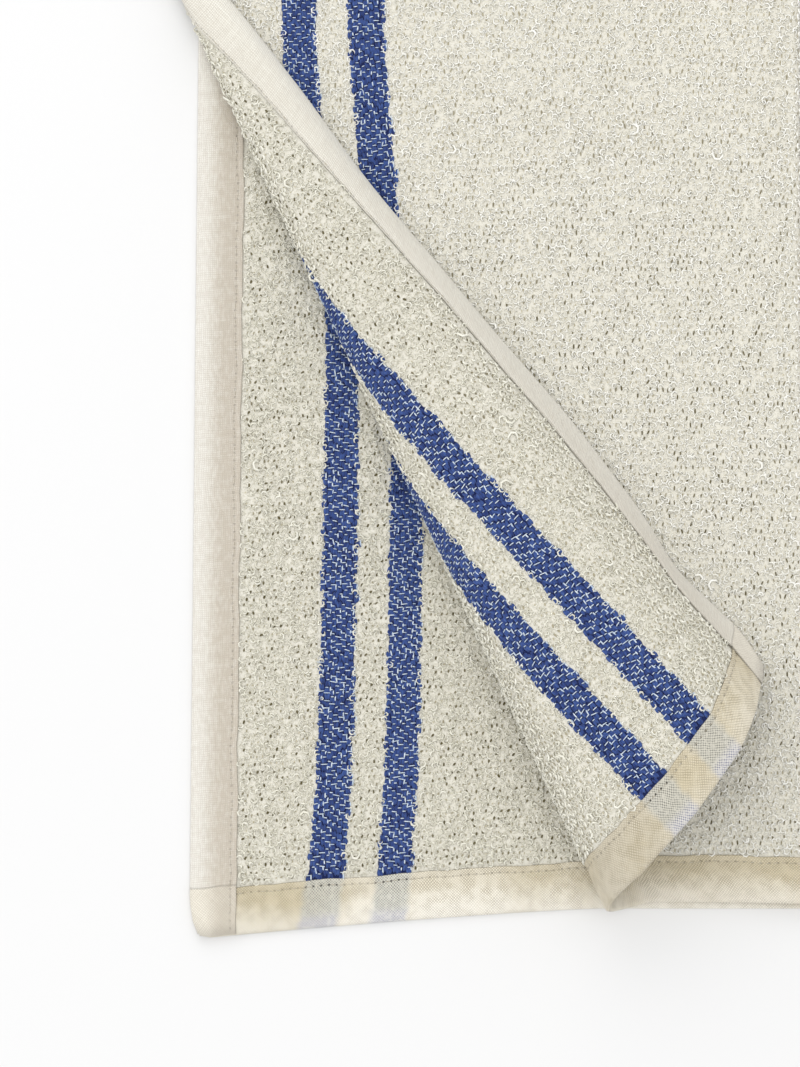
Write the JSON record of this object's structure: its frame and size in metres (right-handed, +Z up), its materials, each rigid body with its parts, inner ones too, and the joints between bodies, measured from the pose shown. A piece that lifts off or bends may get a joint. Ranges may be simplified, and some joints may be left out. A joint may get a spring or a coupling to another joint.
{
  "type": "washcloth",
  "caption": "Square terry washcloth bound all round with tape, folded in half with one corner of the upper layer curled back.",
  "frame": {"origin": "middle of the underside of the box that the folded cloth fills", "axes": "+X towards the fold, +Y towards the far hem, +Z up off the surface it lies on"},
  "size_m": [0.1851, 0.3462, 0.0364],
  "materials": {
    "terry": "matte looped terry",
    "hem_tape": "matte plain weave",
    "side_tape": "matte plain weave"
  },
  "bodies": {
    "root": {"terry_panel": "terry", "near_binding": "hem_tape", "far_binding": "hem_tape", "lower_side_binding": "side_tape", "upper_side_binding": "side_tape"}
  },
  "joints": []
}
